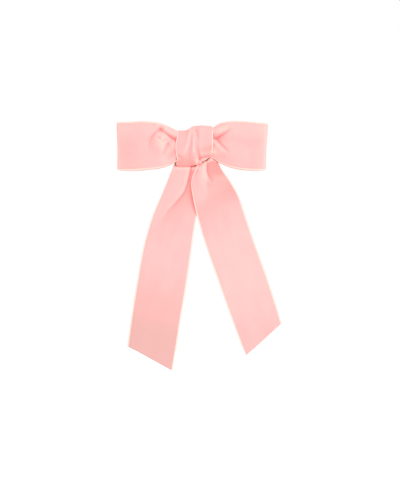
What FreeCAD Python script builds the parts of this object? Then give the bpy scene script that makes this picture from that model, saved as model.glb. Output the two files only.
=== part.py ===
"""A hair barrette: a sprung metal clip behind a tied bow of velvet ribbon. Millimetres.

X runs along the clip, +Z is up as worn, and the head is on the +Y side, so the bow faces -Y.
The origin is in the middle of the gap that holds the hair.
"""

import FreeCAD, Part

import math
import os

V = FreeCAD.Vector

# Ribbon bow
RIBBON_THICKNESS = 0.9
LEFT_LOOP_REACH = 60.2
RIGHT_LOOP_REACH = 55.6
LOOP_TOP = 18.9
LOOP_BOTTOM = -18.3
LOOP_FRONT_Y = -21.5
LOOP_BACK_Y = -11.6
GATHER_TOP = 9.5
GATHER_BOTTOM = -10.5
LAP_REACH = 10.0
LAP_LIFT = 1.0
KNOT_HALF_WIDTH = 14.7
KNOT_BACK_Y = -9.55
KNOT_FRONT_Y = -18.5
KNOT_TOP = 14.6
KNOT_BOTTOM = -15.0
KNOT_CORNER = 4.0
TAIL_LEFT_BACK_Y = -7.65
TAIL_RIGHT_BACK_Y = -8.6
TAIL_TOP = 2.0

# The tails' selvedges as seen from the front, as (x, z)
TAIL_LEFT_OUTER = [(-11.0, TAIL_TOP), (-19.4, -19.4), (-33.4, -53.5), (-45.0, -103.2), (-52.8, -154.4)]
TAIL_LEFT_INNER = [(1.5, TAIL_TOP), (1.2, -53.5), (-9.3, -118.7), (-18.6, -174.6)]
TAIL_RIGHT_OUTER = [(14.5, TAIL_TOP), (27.9, -28.7), (38.8, -53.5), (55.9, -103.2), (66.7, -136.6)]
TAIL_RIGHT_INNER = [(1.0, TAIL_TOP), (-2.8, -27.0), (1.9, -51.2), (17.8, -103.2), (39.6, -162.2)]

# Thread round the gathered middle
THREAD_DIAMETER = 0.5
THREAD_TURNS = 3
THREAD_PITCH = 1.2
THREAD_BACK_Y = -10.5
THREAD_FRONT_Y = -15.1
THREAD_CORNER = 1.0
THREAD_CLEARANCE = 0.05

# Arched plate
PLATE_LENGTH = 80.0
PLATE_WIDTH = 9.0
PLATE_THICKNESS = 0.6
PLATE_RADIUS = 93.0
PLATE_CORNER = 4.0
PLATE_MIDDLE_Y = -6.0
SEW_HOLE_X = 37.4
SEW_HOLE_RADIUS = 0.9

# Felt pad on the plate's front
PAD_LENGTH = 70.0
PAD_WIDTH = 10.0
PAD_THICKNESS = 1.0
PAD_CORNER = 3.0
PAD_RIVET_HOLE_RADIUS = 1.7

# Hinge
HINGE_X = -33.0
HINGE_Y = 3.9
PIN_RADIUS = 0.6
PIN_HEAD_RADIUS = 0.95
PIN_HEAD_HEIGHT = 0.4
PIN_CLEARANCE = 0.05
EAR_THICKNESS = 0.6
EAR_RADIUS = 1.6

# Swing arm
ARM_FRONT_Y = 3.0
ARM_THICKNESS = 0.6
ARM_HALF_WIDTH = 3.5
ARM_END_X = 35.7
ARM_CORNER = 2.4
KNUCKLE_HALF_WIDTH = 3.4
WINDOW_START_X = 30.2
WINDOW_END_X = 34.3
WINDOW_HALF_WIDTH = 2.45
WINDOW_CORNER = 0.5

# Tension bar
BAR_THICKNESS = 0.35
BAR_HALF_WIDTH = 2.5
BAR_ROOT_START_X = -30.5
BAR_ROOT_END_X = -25.5
BAR_MIDDLE_Y = -3.0
BAR_FREE_X = 26.0
BAR_FREE_Y = -0.1
BAR_PLAY = 0.1
BAR_CORNER = 1.2
BAR_RIVET_X = -28.0

# Catch
CATCH_X = 32.3
CATCH_BASE_LENGTH = 5.6
CATCH_BASE_HALF_WIDTH = 2.8
CATCH_BASE_THICKNESS = 0.5
CATCH_BASE_CORNER = 0.8
PRONG_LENGTH = 2.7
PRONG_INNER_Z = 1.45
PRONG_OUTER_Z = 1.95
PRONG_TOP_Y = 9.6
PRONG_LIP = 0.25
BARB_REACH_Z = 2.95
BARB_BOTTOM_Y = 5.3
BARB_TOP_Y = 7.2
PRONG_PLAY = 0.08

# Rivets
RIVET_RADIUS = 0.7
RIVET_HEAD_RADIUS = 1.2
RIVET_HEAD_HEIGHT = 0.4

# A head's rounding, as a share of its height
HEAD_ROUNDING = 0.6
# Longer than any piece of the clip; blocks this long cut right through
FAR = 60.0


def arc_y(centre_y, radius, x):
    """Where an arc about (0, centre_y) stands at x, on its front side."""
    return centre_y - math.sqrt(radius * radius - x * x)


ARCH_CENTRE_Y = PLATE_MIDDLE_Y + PLATE_RADIUS
PLATE_FRONT_RADIUS = PLATE_RADIUS + PLATE_THICKNESS


def plate_y(x):
    """The plate's head-side face at x."""
    return arc_y(ARCH_CENTRE_Y, PLATE_RADIUS, x)


def edges_along(shape, direction):
    """The straight edges of a box that run along one axis."""
    found = []
    for edge in shape.Edges:
        if abs(edge.tangentAt(edge.FirstParameter).dot(direction)) > 0.99:
            found.append(edge)
    return found


def upright_block(x0, x1, half_width, corner):
    """A block through the whole clip along Y, with rounded corners in the X-Z plane."""
    block = Part.makeBox(x1 - x0, 2 * FAR, 2 * half_width, V(x0, -FAR, -half_width))
    return block.makeFillet(corner, edges_along(block, V(0, 1, 0)))


def arched_ring(centre_y, head_radius, front_radius, half_width):
    """A full ring about the arch's axis; blocks cut strips out of it."""
    base = V(0, centre_y, -half_width)
    outer = Part.makeCylinder(front_radius, 2 * half_width, base)
    inner = Part.makeCylinder(head_radius, 2 * half_width, base)
    return outer.cut(inner)


def arched_strip(centre_y, head_radius, front_radius, x0, x1, half_width, corner):
    ring = arched_ring(centre_y, head_radius, front_radius, half_width)
    strip = ring.common(upright_block(x0, x1, half_width, corner))
    return strip.Solids[0]


def hole_along_y(x, z, radius):
    return Part.makeCylinder(radius, 2 * FAR, V(x, -FAR, z), V(0, 1, 0))


def polygon_prism(points, direction):
    wire = Part.makePolygon(points + points[:1])
    return Part.Face(wire).extrude(direction)


def rounded_profile(y0, y1, z0, z1, corner, x0, x1):
    """A block along X, with its four long edges rounded."""
    block = Part.makeBox(x1 - x0, y1 - y0, z1 - z0, V(x0, y0, z0))
    return block.makeFillet(corner, edges_along(block, V(1, 0, 0)))


# The clip


def hinge_ear(z_low):
    """One lug that stands from the plate's edge and holds the pin."""
    foot_y = plate_y(HINGE_X) - PLATE_THICKNESS / 2
    post = Part.makeBox(
        2 * EAR_RADIUS, HINGE_Y - foot_y, EAR_THICKNESS, V(HINGE_X - EAR_RADIUS, foot_y, z_low)
    )
    top = Part.makeCylinder(EAR_RADIUS, EAR_THICKNESS, V(HINGE_X, HINGE_Y, z_low))
    return post.fuse(top)


def top_plate():
    plate = arched_strip(
        ARCH_CENTRE_Y,
        PLATE_RADIUS,
        PLATE_FRONT_RADIUS,
        -PLATE_LENGTH / 2,
        PLATE_LENGTH / 2,
        PLATE_WIDTH / 2,
        PLATE_CORNER,
    )
    for z_low in (-PLATE_WIDTH / 2, PLATE_WIDTH / 2 - EAR_THICKNESS):
        plate = plate.fuse(hinge_ear(z_low))
    pin_hole = Part.makeCylinder(PIN_RADIUS, PLATE_WIDTH, V(HINGE_X, HINGE_Y, -PLATE_WIDTH / 2))
    plate = plate.cut(pin_hole)
    for x in (-SEW_HOLE_X, SEW_HOLE_X):
        plate = plate.cut(hole_along_y(x, 0, SEW_HOLE_RADIUS))
    for x in (BAR_RIVET_X, CATCH_X):
        plate = plate.cut(hole_along_y(x, 0, RIVET_RADIUS))
    return plate.removeSplitter()


def hinge_pin():
    reach = PLATE_WIDTH / 2
    pin = Part.makeCylinder(PIN_RADIUS, PLATE_WIDTH, V(HINGE_X, HINGE_Y, -reach))
    for z_low in (-reach - PIN_HEAD_HEIGHT, reach):
        head = Part.makeCylinder(PIN_HEAD_RADIUS, PIN_HEAD_HEIGHT, V(HINGE_X, HINGE_Y, z_low))
        outer_face_z = z_low if z_low < 0 else z_low + PIN_HEAD_HEIGHT
        rim = [e for e in head.Edges if abs(e.BoundBox.ZMin - outer_face_z) < 0.001 and e.Closed]
        pin = pin.fuse(head.makeFillet(PIN_HEAD_HEIGHT * HEAD_ROUNDING, rim))
    return pin.removeSplitter()


def arm_radius():
    """The arm's front face passes the middle of the gap and the top of the knuckle's bore."""
    rise = HINGE_Y + PIN_RADIUS + PIN_CLEARANCE - ARM_FRONT_Y
    return (HINGE_X * HINGE_X + rise * rise) / (2 * rise)


def swing_arm():
    front_radius = arm_radius()
    centre_y = ARM_FRONT_Y + front_radius
    ring = arched_ring(centre_y, front_radius - ARM_THICKNESS, front_radius, ARM_HALF_WIDTH)
    block = upright_block(HINGE_X - ARM_CORNER, ARM_END_X, ARM_HALF_WIDTH, ARM_CORNER)
    beyond_pin = Part.makeBox(FAR, 2 * FAR, 2 * FAR, V(HINGE_X - FAR, -FAR, -FAR))
    strip = ring.common(block).Solids[0].cut(beyond_pin)
    bore_radius = PIN_RADIUS + PIN_CLEARANCE
    base = V(HINGE_X, HINGE_Y, -KNUCKLE_HALF_WIDTH)
    knuckle = Part.makeCylinder(bore_radius + ARM_THICKNESS, 2 * KNUCKLE_HALF_WIDTH, base)
    window = upright_block(WINDOW_START_X, WINDOW_END_X, WINDOW_HALF_WIDTH, WINDOW_CORNER)
    arm = strip.fuse(knuckle).cut(window)
    bore = Part.makeCylinder(bore_radius, 4 * ARM_HALF_WIDTH, V(HINGE_X, HINGE_Y, -2 * ARM_HALF_WIDTH))
    return arm.cut(bore).removeSplitter()


def tension_bar():
    """A leaf spring: a root that follows the plate, then a flatter bow towards its free end."""
    head_radius = PLATE_RADIUS - BAR_PLAY - BAR_THICKNESS
    root = arched_strip(
        ARCH_CENTRE_Y,
        head_radius,
        head_radius + BAR_THICKNESS,
        BAR_ROOT_START_X,
        BAR_ROOT_END_X + BAR_CORNER,
        BAR_HALF_WIDTH,
        BAR_CORNER,
    )
    root = root.cut(Part.makeBox(FAR, 2 * FAR, 2 * FAR, V(BAR_ROOT_END_X, -FAR, -FAR)))
    root = root.cut(hole_along_y(BAR_RIVET_X, 0, RIVET_RADIUS + BAR_PLAY))
    start = V(BAR_ROOT_END_X, arc_y(ARCH_CENTRE_Y, head_radius, BAR_ROOT_END_X), -BAR_HALF_WIDTH)
    middle = V(0, BAR_MIDDLE_Y, -BAR_HALF_WIDTH)
    free = V(BAR_FREE_X, BAR_FREE_Y, -BAR_HALF_WIDTH)
    down = V(0, -BAR_THICKNESS, 0)
    outline = Part.Wire(
        [
            Part.Arc(start, middle, free).toShape(),
            Part.makeLine(free, free + down),
            Part.Arc(free + down, middle + down, start + down).toShape(),
            Part.makeLine(start + down, start),
        ]
    )
    leaf = Part.Face(outline).extrude(V(0, 0, 2 * BAR_HALF_WIDTH))
    rounded = upright_block(
        BAR_ROOT_END_X - BAR_CORNER, BAR_FREE_X, BAR_HALF_WIDTH, BAR_CORNER
    )
    return leaf.common(rounded).fuse(root).removeSplitter()


def rivet(x, stack_low_y, stack_high_y):
    """A rivet along Y with a domed head on each side of what it holds."""
    dome = RIVET_HEAD_HEIGHT * HEAD_ROUNDING
    shank = Part.makeCylinder(
        RIVET_RADIUS, stack_high_y - stack_low_y, V(x, stack_low_y, 0), V(0, 1, 0)
    )
    for start, way in ((stack_high_y, 1), (stack_low_y, -1)):
        head = Part.makeCylinder(
            RIVET_HEAD_RADIUS, RIVET_HEAD_HEIGHT, V(x, start, 0), V(0, way, 0)
        )
        top_y = start + way * RIVET_HEAD_HEIGHT
        rim = [e for e in head.Edges if e.Closed and abs(e.BoundBox.YMin - top_y) < 0.001]
        shank = shank.fuse(head.makeFillet(dome, rim))
    return shank.removeSplitter()


def plate_slope_allowance():
    """How far a rivet head's rim must stand off, because the plate slopes under it."""
    slope = CATCH_X / math.sqrt(PLATE_RADIUS**2 - CATCH_X**2)
    return RIVET_HEAD_RADIUS * slope


def bar_rivet():
    head_side = plate_y(BAR_RIVET_X) + BAR_THICKNESS + 2 * BAR_PLAY + plate_slope_allowance()
    front_side = arc_y(ARCH_CENTRE_Y, PLATE_FRONT_RADIUS, BAR_RIVET_X) - plate_slope_allowance()
    return rivet(BAR_RIVET_X, front_side, head_side)


def catch_rivet():
    head_side = plate_y(CATCH_X) + CATCH_BASE_THICKNESS + plate_slope_allowance()
    front_side = arc_y(ARCH_CENTRE_Y, PLATE_FRONT_RADIUS, CATCH_X) - plate_slope_allowance()
    return rivet(CATCH_X, front_side, head_side)


def catch_base():
    base = arched_strip(
        ARCH_CENTRE_Y,
        PLATE_RADIUS - CATCH_BASE_THICKNESS,
        PLATE_RADIUS,
        CATCH_X - CATCH_BASE_LENGTH / 2,
        CATCH_X + CATCH_BASE_LENGTH / 2,
        CATCH_BASE_HALF_WIDTH,
        CATCH_BASE_CORNER,
    )
    return base.cut(hole_along_y(CATCH_X, 0, RIVET_RADIUS))


def catch_prong(side):
    """A spring prong: side 1 is the upper one, -1 the lower."""
    start_x = CATCH_X - PRONG_LENGTH / 2
    foot_y = plate_y(start_x + PRONG_LENGTH) + CATCH_BASE_THICKNESS + PRONG_PLAY
    outline = [
        (foot_y, PRONG_INNER_Z),
        (PRONG_TOP_Y - PRONG_LIP, PRONG_INNER_Z - PRONG_LIP / 2),
        (PRONG_TOP_Y, (PRONG_INNER_Z + PRONG_OUTER_Z) / 2 - PRONG_LIP / 2),
        (PRONG_TOP_Y - PRONG_LIP, PRONG_OUTER_Z - PRONG_LIP / 2),
        (BARB_TOP_Y, PRONG_OUTER_Z),
        (BARB_BOTTOM_Y, BARB_REACH_Z),
        (BARB_BOTTOM_Y, PRONG_OUTER_Z),
        (foot_y, PRONG_OUTER_Z),
    ]
    points = [V(start_x, y, side * z) for y, z in outline]
    return polygon_prism(points, V(PRONG_LENGTH, 0, 0))


# The bow


def felt_pad():
    head_radius = PLATE_FRONT_RADIUS
    pad = arched_strip(
        ARCH_CENTRE_Y,
        head_radius,
        head_radius + PAD_THICKNESS,
        -PAD_LENGTH / 2,
        PAD_LENGTH / 2,
        PAD_WIDTH / 2,
        PAD_CORNER,
    )
    for x in (BAR_RIVET_X, CATCH_X):
        pad = pad.cut(hole_along_y(x, 0, PAD_RIVET_HOLE_RADIUS))
    return pad


def ribbon_band(points, z0, z1):
    """A strip of ribbon on edge, whose middle line passes the points in the X-Y plane."""
    middle = Part.BSplineCurve()
    middle.interpolate([V(x, y, z0) for x, y in points])
    sides = ([], [])
    steps = 6 * len(points)
    for step in range(steps + 1):
        at = middle.FirstParameter + (middle.LastParameter - middle.FirstParameter) * step / steps
        tangent = middle.tangent(at)[0]
        normal = V(-tangent.y, tangent.x, 0).normalize()
        sides[0].append(middle.value(at) + normal * (RIBBON_THICKNESS / 2))
        sides[1].append(middle.value(at) - normal * (RIBBON_THICKNESS / 2))
    curves = []
    for side in sides:
        curve = Part.BSplineCurve()
        curve.interpolate(side)
        curves.append(curve.toShape())
    ends = [Part.makeLine(sides[0][0], sides[1][0]), Part.makeLine(sides[0][-1], sides[1][-1])]
    outline = Part.Wire(Part.__sortEdges__(curves + ends))
    return Part.Face(outline).extrude(V(0, 0, z1 - z0))


def loop_path():
    """From the inner lap end, round the left loop, across the front, and round the right loop."""
    middle_y = (LOOP_FRONT_Y + LOOP_BACK_Y) / 2
    gather_y = LOOP_BACK_Y - 2.5
    left, right = LEFT_LOOP_REACH, RIGHT_LOOP_REACH
    return [
        (LAP_REACH, LOOP_BACK_Y - LAP_LIFT),
        (-LAP_REACH, LOOP_BACK_Y - LAP_LIFT),
        (-0.4 * left, LOOP_BACK_Y - 0.3),
        (-0.85 * left, LOOP_BACK_Y - 0.4),
        (-left, middle_y),
        (-0.85 * left, LOOP_FRONT_Y + 1.2),
        (-0.6 * left, LOOP_FRONT_Y),
        (-0.4 * left, LOOP_FRONT_Y + 1.0),
        (-KNOT_HALF_WIDTH, LOOP_FRONT_Y + 5.0),
        (-0.5 * KNOT_HALF_WIDTH, gather_y - 0.6),
        (0, gather_y),
        (0.5 * KNOT_HALF_WIDTH, gather_y - 0.6),
        (KNOT_HALF_WIDTH, LOOP_FRONT_Y + 5.0),
        (0.5 * right, LOOP_FRONT_Y + 1.0),
        (0.68 * right, LOOP_FRONT_Y),
        (0.86 * right, LOOP_FRONT_Y + 1.2),
        (right, middle_y),
        (0.85 * right, LOOP_BACK_Y - 0.4),
        (0.45 * right, LOOP_BACK_Y - 0.1),
        (LAP_REACH, LOOP_BACK_Y),
        (-LAP_REACH, LOOP_BACK_Y),
    ]


def loop_ribbon():
    """One ribbon round both loops, narrowed where the thread gathers it."""
    band = ribbon_band(loop_path(), -FAR, FAR)
    far_left, far_right = -LEFT_LOOP_REACH - 2, RIGHT_LOOP_REACH + 2
    outline = [
        (far_left, LOOP_TOP),
        (-27.0, LOOP_TOP - 0.4),
        (-20.5, LOOP_TOP - 3.6),
        (-KNOT_HALF_WIDTH, GATHER_TOP + 2.4),
        (-10.0, GATHER_TOP),
        (10.0, GATHER_TOP),
        (KNOT_HALF_WIDTH, GATHER_TOP + 3.2),
        (21.5, LOOP_TOP - 0.9),
        (29.0, LOOP_TOP + 0.3),
        (40.0, LOOP_TOP + 0.3),
        (far_right, LOOP_TOP - 0.8),
        (far_right, LOOP_BOTTOM),
        (40.0, LOOP_BOTTOM + 0.5),
        (27.0, LOOP_BOTTOM + 2.3),
        (18.6, LOOP_BOTTOM + 6.1),
        (12.0, GATHER_BOTTOM),
        (-12.0, GATHER_BOTTOM),
        (-24.0, LOOP_BOTTOM + 3.3),
        (-33.0, LOOP_BOTTOM + 1.4),
        (-48.0, LOOP_BOTTOM),
        (far_left, LOOP_BOTTOM),
    ]
    front = polygon_prism([V(x, -FAR, z) for x, z in outline], V(0, 2 * FAR, 0))
    return band.common(front)


def knot_wrap():
    reach = KNOT_HALF_WIDTH
    skin = RIBBON_THICKNESS
    outer = rounded_profile(
        KNOT_FRONT_Y, KNOT_BACK_Y, KNOT_BOTTOM, KNOT_TOP, KNOT_CORNER, -reach, reach
    )
    inner = rounded_profile(
        KNOT_FRONT_Y + skin,
        KNOT_BACK_Y - skin,
        KNOT_BOTTOM + skin,
        KNOT_TOP - skin,
        KNOT_CORNER - skin - 0.3,
        -reach - 1,
        reach + 1,
    )
    return outer.cut(inner)


def gather_thread():
    turns = []
    for turn in range(THREAD_TURNS):
        x0 = (turn - (THREAD_TURNS - 1) / 2) * THREAD_PITCH - THREAD_DIAMETER / 2
        x1 = x0 + THREAD_DIAMETER
        outside = rounded_profile(
            THREAD_FRONT_Y,
            THREAD_BACK_Y,
            GATHER_BOTTOM - THREAD_CLEARANCE - THREAD_DIAMETER,
            GATHER_TOP + THREAD_CLEARANCE + THREAD_DIAMETER,
            THREAD_CORNER,
            x0,
            x1,
        )
        inside = Part.makeBox(
            THREAD_DIAMETER,
            THREAD_BACK_Y - THREAD_FRONT_Y - 2 * THREAD_DIAMETER,
            GATHER_TOP - GATHER_BOTTOM + 2 * THREAD_CLEARANCE,
            V(x0, THREAD_FRONT_Y + THREAD_DIAMETER, GATHER_BOTTOM - THREAD_CLEARANCE),
        )
        turns.append(outside.cut(inside))
    return Part.makeCompound(turns)


def tail(outer_edge, inner_edge, back_y):
    """A hanging strip: two curved selvedges, a straight top, and a slanted cut at the end."""
    edges = []
    for edge in (outer_edge, inner_edge):
        curve = Part.BSplineCurve()
        curve.interpolate([V(x, back_y, z) for x, z in edge])
        edges.append(curve.toShape())
    for end in (0, -1):
        points = [V(edge[end][0], back_y, edge[end][1]) for edge in (outer_edge, inner_edge)]
        edges.append(Part.makeLine(points[0], points[1]))
    outline = Part.Wire(Part.__sortEdges__(edges))
    return Part.Face(outline).extrude(V(0, -RIBBON_THICKNESS, 0))


def main():
    os.makedirs("parts", exist_ok=True)
    pieces = {
        "top_plate": top_plate(),
        "hinge_pin": hinge_pin(),
        "swing_arm": swing_arm(),
        "tension_bar": tension_bar(),
        "bar_rivet": bar_rivet(),
        "catch_base": catch_base(),
        "catch_prong_upper": catch_prong(1),
        "catch_prong_lower": catch_prong(-1),
        "catch_rivet": catch_rivet(),
        "felt_pad": felt_pad(),
        "loop_ribbon": loop_ribbon(),
        "knot_wrap": knot_wrap(),
        "gather_thread": gather_thread(),
        "tail_left": tail(TAIL_LEFT_OUTER, TAIL_LEFT_INNER, TAIL_LEFT_BACK_Y),
        "tail_right": tail(TAIL_RIGHT_OUTER, TAIL_RIGHT_INNER, TAIL_RIGHT_BACK_Y),
    }
    for node, shape in pieces.items():
        shape.exportStep("parts/" + node + ".step")


main()
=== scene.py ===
import math

import bpy
import numpy as np
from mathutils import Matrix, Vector


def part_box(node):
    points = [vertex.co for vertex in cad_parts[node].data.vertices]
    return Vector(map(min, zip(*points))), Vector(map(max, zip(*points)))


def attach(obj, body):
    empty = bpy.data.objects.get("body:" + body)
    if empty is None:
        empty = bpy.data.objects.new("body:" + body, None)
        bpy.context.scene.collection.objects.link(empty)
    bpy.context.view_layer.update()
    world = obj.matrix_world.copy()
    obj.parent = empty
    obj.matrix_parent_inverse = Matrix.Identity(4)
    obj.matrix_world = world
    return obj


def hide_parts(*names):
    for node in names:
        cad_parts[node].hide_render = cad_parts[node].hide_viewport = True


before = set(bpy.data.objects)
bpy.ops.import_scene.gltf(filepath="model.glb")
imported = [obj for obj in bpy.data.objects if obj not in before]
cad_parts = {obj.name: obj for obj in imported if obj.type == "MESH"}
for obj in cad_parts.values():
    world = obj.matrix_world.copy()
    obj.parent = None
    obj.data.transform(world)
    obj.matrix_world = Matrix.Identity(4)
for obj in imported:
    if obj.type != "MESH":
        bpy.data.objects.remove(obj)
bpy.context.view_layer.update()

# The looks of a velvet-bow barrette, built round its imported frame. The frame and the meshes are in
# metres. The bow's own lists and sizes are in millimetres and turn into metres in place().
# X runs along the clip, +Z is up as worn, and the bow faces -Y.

MM = 0.001

# Ribbon: its width, and where its edge's rounding, its selvedge and the slope to its pile end,
# counted from the edge
RIBBON_WIDTH = 38.0
EDGE_ROUNDING = 0.25
SELVEDGE_MIDDLE = 0.7
SELVEDGE_WIDTH = 1.1
PILE_EDGE = SELVEDGE_WIDTH + 0.4

# How far its faces are from its middle layer
BACK_OFFSET = 0.25
PILE_OFFSET = 0.55
SELVEDGE_OFFSET = 0.22
EDGE_OFFSET = 0.1

# How fine the grids and curves are
GRID_STEP = 0.7
LOOP_ROWS = 375
KNOT_ROWS = 184
CURVE_DETAIL = 60
OUTLINE_PLACES = 400
FOLD_LINE_PLACES = 40

# A place this far under its smoothed surroundings counts as fully in a fold, for the velvet's painted fold
# shade and ridge highlight
FULL_FOLD = 0.6
SMOOTHING_ROUNDS = 14

# A ribbon's material slots
PILE_SLOT = 0
WEAVE_SLOT = 1
SELVEDGE_SLOT = 2

# Places that come from the frame, in millimetres
loop_low, loop_high = [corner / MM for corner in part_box("loop_ribbon")]
knot_low, knot_high = [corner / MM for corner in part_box("knot_wrap")]
LOOP_FRONT_Y = loop_low.y + 0.5
LOOP_BACK_Y = loop_high.y - 1.6
KNOT_MIDDLE_Y = (knot_low.y + knot_high.y) / 2
TAIL_LEFT_BACK_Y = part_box("tail_left")[1].y / MM
TAIL_RIGHT_BACK_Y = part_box("tail_right")[1].y / MM


# Curves and grids


def smooth_line(points, count):
    """Evenly spaced places on a smooth curve through the points."""
    points = np.array(points, float)
    spans = np.linalg.norm(np.diff(points, axis=0), axis=1)
    knots = np.concatenate([[0.0], np.cumsum(np.sqrt(spans))])
    slopes = np.gradient(points, knots, axis=0, edge_order=1)
    at = np.linspace(0.0, knots[-1], CURVE_DETAIL * len(points))
    span = np.clip(np.searchsorted(knots, at) - 1, 0, len(knots) - 2)
    size = (knots[span + 1] - knots[span])[:, None]
    f = (at - knots[span])[:, None] / size
    curve = (
        points[span] * (1 + 2 * f) * (1 - f) ** 2
        + points[span + 1] * f * f * (3 - 2 * f)
        + slopes[span] * size * f * (1 - f) ** 2
        - slopes[span + 1] * size * f * f * (1 - f)
    )
    return spaced(curve, count)


def spaced(curve, count):
    """A curve's places, spread evenly along it."""
    run = run_lengths(curve)
    wanted = np.linspace(0.0, run[-1], count)
    return np.stack([np.interp(wanted, run, curve[:, k]) for k in range(curve.shape[1])], axis=1)


def run_lengths(curve):
    """How far along the curve each of its places is."""
    steps = np.linalg.norm(np.diff(curve, axis=0), axis=1)
    return np.concatenate([[0.0], np.cumsum(steps)])


def height(at, points):
    """The second coordinate of a smooth curve through the points, where the first is at."""
    curve = smooth_line(points, OUTLINE_PLACES)
    if curve[0, 0] > curve[-1, 0]:
        curve = curve[::-1]
    return np.interp(at, curve[:, 0], curve[:, 1])


def ramp(value, start, end):
    """0 before start, 1 after end, smooth between them."""
    f = np.clip((value - start) / (end - start), 0.0, 1.0)
    return f * f * (3 - 2 * f)


def hump(value, middle, width):
    """1 at the middle, with a smooth fall to 0 on both sides."""
    return np.exp(-(((value - middle) / width) ** 2))


def mound(x, z, at, size):
    """1 at a place, with a smooth fall to 0 all round it."""
    return np.exp(-(((x - at[0]) / size[0]) ** 2) - ((z - at[1]) / size[1]) ** 2)


def from_line(x, z, points):
    """Each place's signed distance from a line and its share along it.

    The distance is positive on the left of someone who walks the line: right of a line that goes down.
    """
    line = smooth_line(points, FOLD_LINE_PLACES)
    shape = x.shape
    here = np.stack([x.ravel(), z.ravel()], axis=1)
    best = np.full(len(here), 1e9)
    side = np.zeros(len(here))
    share = np.zeros(len(here))
    for k in range(len(line) - 1):
        step = line[k + 1] - line[k]
        away = here - line[k]
        f = np.clip(away @ step / (step @ step), 0.0, 1.0)
        gap = here - (line[k] + f[:, None] * step)
        distance = np.linalg.norm(gap, axis=1)
        nearer = distance < best
        best[nearer] = distance[nearer]
        turn = step[0] * away[:, 1] - step[1] * away[:, 0]
        side[nearer] = np.sign(turn[nearer])
        share[nearer] = (k + f[nearer]) / (len(line) - 1)
    return (best * side).reshape(shape), share.reshape(shape)


def crease(x, z, points, depth, width, lip=0.0, drop=0.0, drop_width=6.0, keep=0.0, mirror=1):
    """A fold line: a sharp valley, with a rolled lip on its walker's right and a drop on the left.

    It fades from its first point to its last, to keep times its depth. A mirror of -1 swaps the sides.
    """
    side, share = from_line(x, z, points)
    side = side * mirror
    fade = keep + (1 - keep) * (1 - share**2)
    valley = -depth * np.exp(-np.abs(side) / width)
    roll = lip * hump(side, -1.8 * width, 1.5 * width)
    beside = np.exp(-np.abs(side) / np.where(side > 0, drop_width, 0.5))
    return (valley + roll - drop * beside) * fade


def dent(x, z, at, radius, depth):
    """A round hollow."""
    return -depth * np.exp(-((x - at[0]) ** 2 + (z - at[1]) ** 2) / radius**2)


def grid_normals(points):
    """The unit normals of a grid of places, on the side that the pile is on."""
    normals = np.cross(np.gradient(points, axis=0), np.gradient(points, axis=1))
    return normals / np.maximum(np.linalg.norm(normals, axis=2, keepdims=True), 1e-9)


def width_places():
    """Where the columns of a ribbon's grid are, in millimetres from its left edge."""
    edge = [0.0, EDGE_ROUNDING, SELVEDGE_MIDDLE, SELVEDGE_WIDTH, PILE_EDGE]
    count = int((RIBBON_WIDTH - 2 * edge[-1]) / GRID_STEP) + 1
    middle = np.linspace(edge[-1], RIBBON_WIDTH - edge[-1], count)
    return np.concatenate([edge[:-1], middle, RIBBON_WIDTH - np.array(edge[:-1])[::-1]])


def softened(points, rounds):
    """The grid with each place moved to its neighbours' mean, some times over."""
    points = points.copy()
    for _ in range(rounds):
        points[1:-1] = (points[:-2] + points[1:-1] * 2 + points[2:]) / 4
        points[:, 1:-1] = (points[:, :-2] + points[:, 1:-1] * 2 + points[:, 2:]) / 4
    return points


# Meshes


def place(name, points, faces):
    """An object with a smooth-shaded mesh, whose points are given in millimetres."""
    mesh = bpy.data.meshes.new(name)
    mesh.from_pydata((np.array(points) * MM).tolist(), [], faces)
    mesh.shade_smooth()
    piece = bpy.data.objects.new(name, mesh)
    bpy.context.scene.collection.objects.link(piece)
    return piece


def point_attribute(piece, name, kind, key, values):
    """Values on a mesh's points, for its materials to read."""
    attribute = piece.data.attributes.new(name, kind, "POINT")
    attribute.data.foreach_set(key, np.asarray(values, np.float32).ravel())


def shell_faces(rows, columns):
    """The faces of a thin closed form: its first side's, its second side's, and the rim's.

    Each side is a grid. The second side's places are numbered after the first's. The rim starts along
    the first row, goes down the last column, and comes back.
    """
    number = np.arange(rows * columns).reshape(rows, columns)
    corners = [number[:-1, :-1], number[1:, :-1], number[1:, 1:], number[:-1, 1:]]
    first = np.stack([corner.ravel() for corner in corners], axis=1)
    second = first[:, [0, 3, 2, 1]] + number.size
    ring = np.concatenate([number[0], number[1:, -1], number[-1, -2::-1], number[-2:0:-1, 0]])
    after = np.roll(ring, -1)
    rim = np.stack([ring, after, after + number.size, ring + number.size], axis=1)
    return np.concatenate([first, second, rim]).tolist()


def ribbon_sides(middle, normals, edge_gap):
    """The pile side and the woven side of a grid of places. Its selvedges are thinner."""
    pile_offset = np.interp(
        edge_gap,
        [0.0, EDGE_ROUNDING, SELVEDGE_WIDTH, PILE_EDGE],
        [EDGE_OFFSET, SELVEDGE_OFFSET, SELVEDGE_OFFSET, PILE_OFFSET],
    )
    back_offset = np.interp(edge_gap, [0.0, EDGE_ROUNDING], [EDGE_OFFSET, BACK_OFFSET])
    pile_side = middle + normals * pile_offset[None, :, None]
    woven_side = middle - normals * back_offset[None, :, None]
    return pile_side, woven_side


def ribbon_slots(rows, edge_gap):
    """The material slot of each face of a ribbon, in the order of shell_faces."""
    in_selvedge = (edge_gap[:-1] + edge_gap[1:]) / 2 < SELVEDGE_WIDTH
    pile_row = np.where(in_selvedge, SELVEDGE_SLOT, PILE_SLOT)
    woven_row = np.where(in_selvedge, SELVEDGE_SLOT, WEAVE_SLOT)
    end_then_side = [len(edge_gap) - 1, rows - 1]
    rim = np.repeat([WEAVE_SLOT, SELVEDGE_SLOT] * 2, end_then_side * 2)
    return np.concatenate([np.tile(pile_row, rows - 1), np.tile(woven_row, rows - 1), rim]).tolist()


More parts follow.
